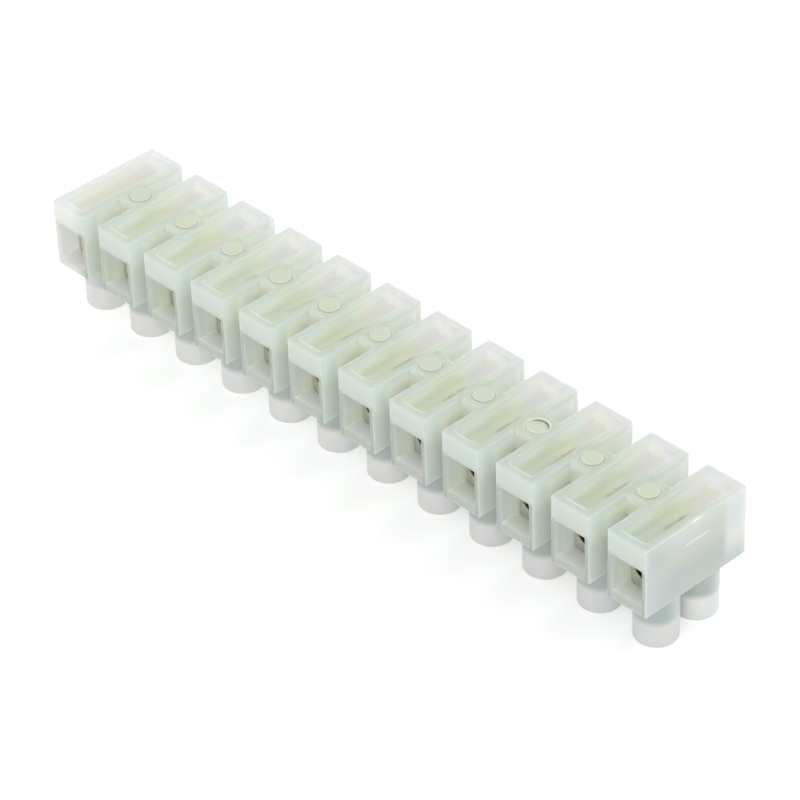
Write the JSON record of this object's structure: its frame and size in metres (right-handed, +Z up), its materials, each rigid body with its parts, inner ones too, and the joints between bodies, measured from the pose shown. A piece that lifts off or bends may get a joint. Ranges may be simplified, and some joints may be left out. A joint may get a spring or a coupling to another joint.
{
  "type": "screw terminal strip",
  "caption": "Milky plastic terminal strip of separate poles joined by webs, each with a metal clamp insert, a wire mouth at both ends and slotted clamp screws in round towers.",
  "frame": {"origin": "centre of the strip's footprint, on the plane that its screw towers stand on", "axes": "+X along the strip, +Y along the wires from the front mouths to the rear, +Z up from the screw towers to the base face, which is up as in the picture"},
  "size_m": [0.1168, 0.019, 0.0187],
  "materials": {
    "milky_plastic": "translucent natural polyamide, moulded satin",
    "plated_insert": "dull nickel plate",
    "plated_screw": "zinc plate"
  },
  "bodies": {
    "block": {"housing": "milky_plastic", "insert_01": "plated_insert", "insert_02": "plated_insert", "insert_03": "plated_insert", "insert_04": "plated_insert", "insert_05": "plated_insert", "insert_06": "plated_insert", "insert_07": "plated_insert", "insert_08": "plated_insert", "insert_09": "plated_insert", "insert_10": "plated_insert", "insert_11": "plated_insert", "insert_12": "plated_insert"},
    "screw_01_front": {"screw_01_front": "plated_screw"},
    "screw_01_rear": {"screw_01_rear": "plated_screw"},
    "screw_02_front": {"screw_02_front": "plated_screw"},
    "screw_02_rear": {"screw_02_rear": "plated_screw"},
    "screw_03_front": {"screw_03_front": "plated_screw"},
    "screw_03_rear": {"screw_03_rear": "plated_screw"},
    "screw_04_front": {"screw_04_front": "plated_screw"},
    "screw_04_rear": {"screw_04_rear": "plated_screw"},
    "screw_05_front": {"screw_05_front": "plated_screw"},
    "screw_05_rear": {"screw_05_rear": "plated_screw"},
    "screw_06_front": {"screw_06_front": "plated_screw"},
    "screw_06_rear": {"screw_06_rear": "plated_screw"},
    "screw_07_front": {"screw_07_front": "plated_screw"},
    "screw_07_rear": {"screw_07_rear": "plated_screw"},
    "screw_08_front": {"screw_08_front": "plated_screw"},
    "screw_08_rear": {"screw_08_rear": "plated_screw"},
    "screw_09_front": {"screw_09_front": "plated_screw"},
    "screw_09_rear": {"screw_09_rear": "plated_screw"},
    "screw_10_front": {"screw_10_front": "plated_screw"},
    "screw_10_rear": {"screw_10_rear": "plated_screw"},
    "screw_11_front": {"screw_11_front": "plated_screw"},
    "screw_11_rear": {"screw_11_rear": "plated_screw"},
    "screw_12_front": {"screw_12_front": "plated_screw"},
    "screw_12_rear": {"screw_12_rear": "plated_screw"}
  },
  "joints": [
    {"name": "screw_01_front_travel", "type": "slide", "parent": "block", "child": "screw_01_front", "axis": [0, 0, 1], "range_m": [0, 0.0026]},
    {"name": "screw_01_rear_travel", "type": "slide", "parent": "block", "child": "screw_01_rear", "axis": [0, 0, 1], "range_m": [0, 0.0026]},
    {"name": "screw_02_front_travel", "type": "slide", "parent": "block", "child": "screw_02_front", "axis": [0, 0, 1], "range_m": [0, 0.0026]},
    {"name": "screw_02_rear_travel", "type": "slide", "parent": "block", "child": "screw_02_rear", "axis": [0, 0, 1], "range_m": [0, 0.0026]},
    {"name": "screw_03_front_travel", "type": "slide", "parent": "block", "child": "screw_03_front", "axis": [0, 0, 1], "range_m": [0, 0.0026]},
    {"name": "screw_03_rear_travel", "type": "slide", "parent": "block", "child": "screw_03_rear", "axis": [0, 0, 1], "range_m": [0, 0.0026]},
    {"name": "screw_04_front_travel", "type": "slide", "parent": "block", "child": "screw_04_front", "axis": [0, 0, 1], "range_m": [0, 0.0026]},
    {"name": "screw_04_rear_travel", "type": "slide", "parent": "block", "child": "screw_04_rear", "axis": [0, 0, 1], "range_m": [0, 0.0026]},
    {"name": "screw_05_front_travel", "type": "slide", "parent": "block", "child": "screw_05_front", "axis": [0, 0, 1], "range_m": [0, 0.0026]},
    {"name": "screw_05_rear_travel", "type": "slide", "parent": "block", "child": "screw_05_rear", "axis": [0, 0, 1], "range_m": [0, 0.0026]},
    {"name": "screw_06_front_travel", "type": "slide", "parent": "block", "child": "screw_06_front", "axis": [0, 0, 1], "range_m": [0, 0.0026]},
    {"name": "screw_06_rear_travel", "type": "slide", "parent": "block", "child": "screw_06_rear", "axis": [0, 0, 1], "range_m": [0, 0.0026]},
    {"name": "screw_07_front_travel", "type": "slide", "parent": "block", "child": "screw_07_front", "axis": [0, 0, 1], "range_m": [0, 0.0026]},
    {"name": "screw_07_rear_travel", "type": "slide", "parent": "block", "child": "screw_07_rear", "axis": [0, 0, 1], "range_m": [0, 0.0026]},
    {"name": "screw_08_front_travel", "type": "slide", "parent": "block", "child": "screw_08_front", "axis": [0, 0, 1], "range_m": [0, 0.0026]},
    {"name": "screw_08_rear_travel", "type": "slide", "parent": "block", "child": "screw_08_rear", "axis": [0, 0, 1], "range_m": [0, 0.0026]},
    {"name": "screw_09_front_travel", "type": "slide", "parent": "block", "child": "screw_09_front", "axis": [0, 0, 1], "range_m": [0, 0.0026]},
    {"name": "screw_09_rear_travel", "type": "slide", "parent": "block", "child": "screw_09_rear", "axis": [0, 0, 1], "range_m": [0, 0.0026]},
    {"name": "screw_10_front_travel", "type": "slide", "parent": "block", "child": "screw_10_front", "axis": [0, 0, 1], "range_m": [0, 0.0026]},
    {"name": "screw_10_rear_travel", "type": "slide", "parent": "block", "child": "screw_10_rear", "axis": [0, 0, 1], "range_m": [0, 0.0026]},
    {"name": "screw_11_front_travel", "type": "slide", "parent": "block", "child": "screw_11_front", "axis": [0, 0, 1], "range_m": [0, 0.0026]},
    {"name": "screw_11_rear_travel", "type": "slide", "parent": "block", "child": "screw_11_rear", "axis": [0, 0, 1], "range_m": [0, 0.0026]},
    {"name": "screw_12_front_travel", "type": "slide", "parent": "block", "child": "screw_12_front", "axis": [0, 0, 1], "range_m": [0, 0.0026]},
    {"name": "screw_12_rear_travel", "type": "slide", "parent": "block", "child": "screw_12_rear", "axis": [0, 0, 1], "range_m": [0, 0.0026]}
  ]
}
